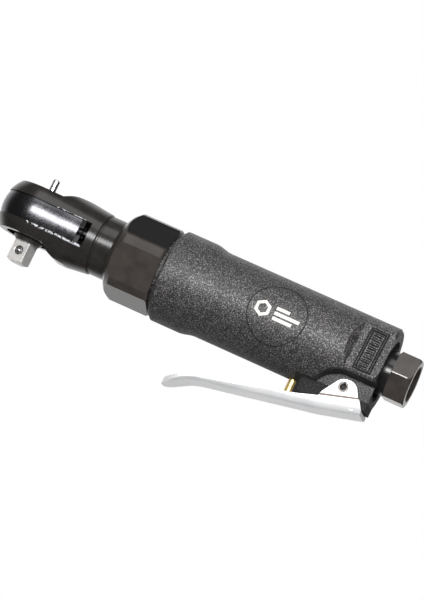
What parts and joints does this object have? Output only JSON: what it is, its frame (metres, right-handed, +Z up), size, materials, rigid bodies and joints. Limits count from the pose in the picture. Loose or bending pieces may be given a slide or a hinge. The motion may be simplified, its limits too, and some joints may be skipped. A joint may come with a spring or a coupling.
{
  "type": "air ratchet wrench",
  "caption": "Inline air ratchet with a rocking yoke head, square drive, textured dark grip, bright throttle lever under the grip and threaded air inlet.",
  "frame": {"origin": "centre of the square drive's shoulder, where a socket seats", "axes": "+X along the tool from the drive to the air inlet, +Z up from the square drive to the reverse pin"},
  "size_m": [0.1616, 0.0342, 0.0534],
  "materials": {
    "black_oxide": "gloss black finish on steel",
    "grip_coat": "charcoal grained coating",
    "yoke_steel": "dark polished steel",
    "drive_steel": "satin steel",
    "bright_steel": "ground steel",
    "tool_steel": "hardened steel",
    "cylinder_iron": "honed iron",
    "spring_steel": "spring wire",
    "bronze": "oiled bronze",
    "brass": "bright brass",
    "chrome": "bright chrome plate",
    "pin_steel": "dark roll pin steel",
    "inlet_finish": "dark bronze gloss on steel",
    "rubber": "black rubber",
    "fibre": "pressed fibre",
    "blade_resin": "phenolic laminate",
    "vent_plastic": "black plastic",
    "screen_mesh": "perforated stainless"
  },
  "bodies": {
    "tool_body": {"ratchet_housing": "black_oxide", "crank_bearing": "bronze", "thrust_washer": "bright_steel", "retaining_ring": "spring_steel", "ring_gear": "tool_steel", "clamp_nut": "black_oxide", "motor_housing": "grip_coat", "front_end_plate": "tool_steel", "rear_end_plate": "tool_steel", "front_bearing": "bright_steel", "rear_bearing": "bright_steel", "cylinder": "cylinder_iron", "cylinder_dowel": "bright_steel", "rear_gasket": "fibre", "exhaust_diffuser": "vent_plastic", "lever_pin": "pin_steel", "stem_bushing": "brass", "stem_oring": "rubber", "valve_seat": "rubber", "valve_spring": "spring_steel", "inlet_bushing": "inlet_finish", "inlet_gasket": "fibre", "inlet_screen": "screen_mesh"},
    "yoke": {"ratchet_yoke": "yoke_steel"},
    "anvil": {"ratchet_anvil": "drive_steel", "pawl_pin": "bright_steel", "detent_spring": "spring_steel"},
    "pawl": {"pawl": "tool_steel"},
    "selector": {"reverse_selector": "bright_steel", "pawl_plunger": "tool_steel", "pawl_spring": "spring_steel"},
    "detent": {"detent_ball": "bright_steel"},
    "crank": {"crankshaft": "tool_steel", "planet_pins": "bright_steel", "drive_bushing": "bronze"},
    "planet_1": {"planet_gear_1": "tool_steel"},
    "planet_2": {"planet_gear_2": "tool_steel"},
    "planet_3": {"planet_gear_3": "tool_steel"},
    "rotor": {"rotor": "tool_steel", "rotor_blades": "blade_resin", "front_bearing_inner": "bright_steel", "rear_bearing_inner": "bright_steel"},
    "lever": {"throttle_lever": "chrome"},
    "stem": {"valve_stem": "brass"},
    "tilt_valve": {"tilt_valve": "brass"}
  },
  "joints": [
    {"name": "lever_press", "type": "hinge", "parent": "tool_body", "child": "lever", "pos_m": [0.1271, 0, -0.00125], "axis": [0, 1, 0], "range_deg": [0, 6], "stiffness_Nm_per_rad": 3, "springref_deg": -6.88},
    {"name": "stem_slide", "type": "slide", "parent": "tool_body", "child": "stem", "axis": [0, 0, 1], "range_m": [0, 0.0022]},
    {"name": "valve_tilt", "type": "hinge", "parent": "tool_body", "child": "tilt_valve", "pos_m": [0.11402, 0, 0.0061], "axis": [0, 1, 0], "range_deg": [0, 9], "deforming": ["valve_spring"]},
    {"name": "rotor_spin", "type": "hinge", "parent": "tool_body", "child": "rotor", "pos_m": [0.072, 0, 0.0105], "axis": [1, 0, 0], "continuous": true},
    {"name": "crank_spin", "type": "hinge", "parent": "tool_body", "child": "crank", "pos_m": [0.028, 0, 0.0105], "axis": [1, 0, 0], "continuous": true},
    {"name": "planet_1_spin", "type": "hinge", "parent": "crank", "child": "planet_1", "pos_m": [0.043, 0, 0.01725], "axis": [1, 0, 0], "continuous": true},
    {"name": "planet_2_spin", "type": "hinge", "parent": "crank", "child": "planet_2", "pos_m": [0.043, -0.00585, 0.00713], "axis": [1, 0, 0], "continuous": true},
    {"name": "planet_3_spin", "type": "hinge", "parent": "crank", "child": "planet_3", "pos_m": [0.043, 0.00585, 0.00713], "axis": [1, 0, 0], "continuous": true},
    {"name": "yoke_rock", "type": "hinge", "parent": "tool_body", "child": "yoke", "pos_m": [0, 0, 0.0105], "axis": [0, 0, 1], "range_deg": [-4, 4]},
    {"name": "drive_turn", "type": "hinge", "parent": "tool_body", "child": "anvil", "pos_m": [0, 0, 0.0105], "axis": [0, 0, 1], "continuous": true},
    {"name": "pawl_rock", "type": "hinge", "parent": "anvil", "child": "pawl", "pos_m": [-0.0069, 0, 0.0105], "axis": [0, 0, 1], "range_deg": [-2.5, 2.5]},
    {"name": "reverse_turn", "type": "hinge", "parent": "anvil", "child": "selector", "pos_m": [0, 0, 0.0105], "axis": [0, 0, 1], "range_deg": [-34, 34]},
    {"name": "ball_slide", "type": "slide", "parent": "anvil", "child": "detent", "axis": [0.2419, 0.9703, 0], "range_m": [0, 0.00035], "stiffness_N_per_m": 400}
  ],
  "couplings": [
    {"joint": "stem_slide", "follows": "lever_press", "m_per_rad": 0.0184},
    {"joint": "valve_tilt", "follows": "lever_press", "ratio": 1.3846},
    {"joint": "crank_spin", "follows": "rotor_spin", "ratio": 0.22222},
    {"joint": "planet_1_spin", "follows": "rotor_spin", "ratio": -0.62222},
    {"joint": "planet_2_spin", "follows": "rotor_spin", "ratio": -0.62222},
    {"joint": "planet_3_spin", "follows": "rotor_spin", "ratio": -0.62222}
  ]
}
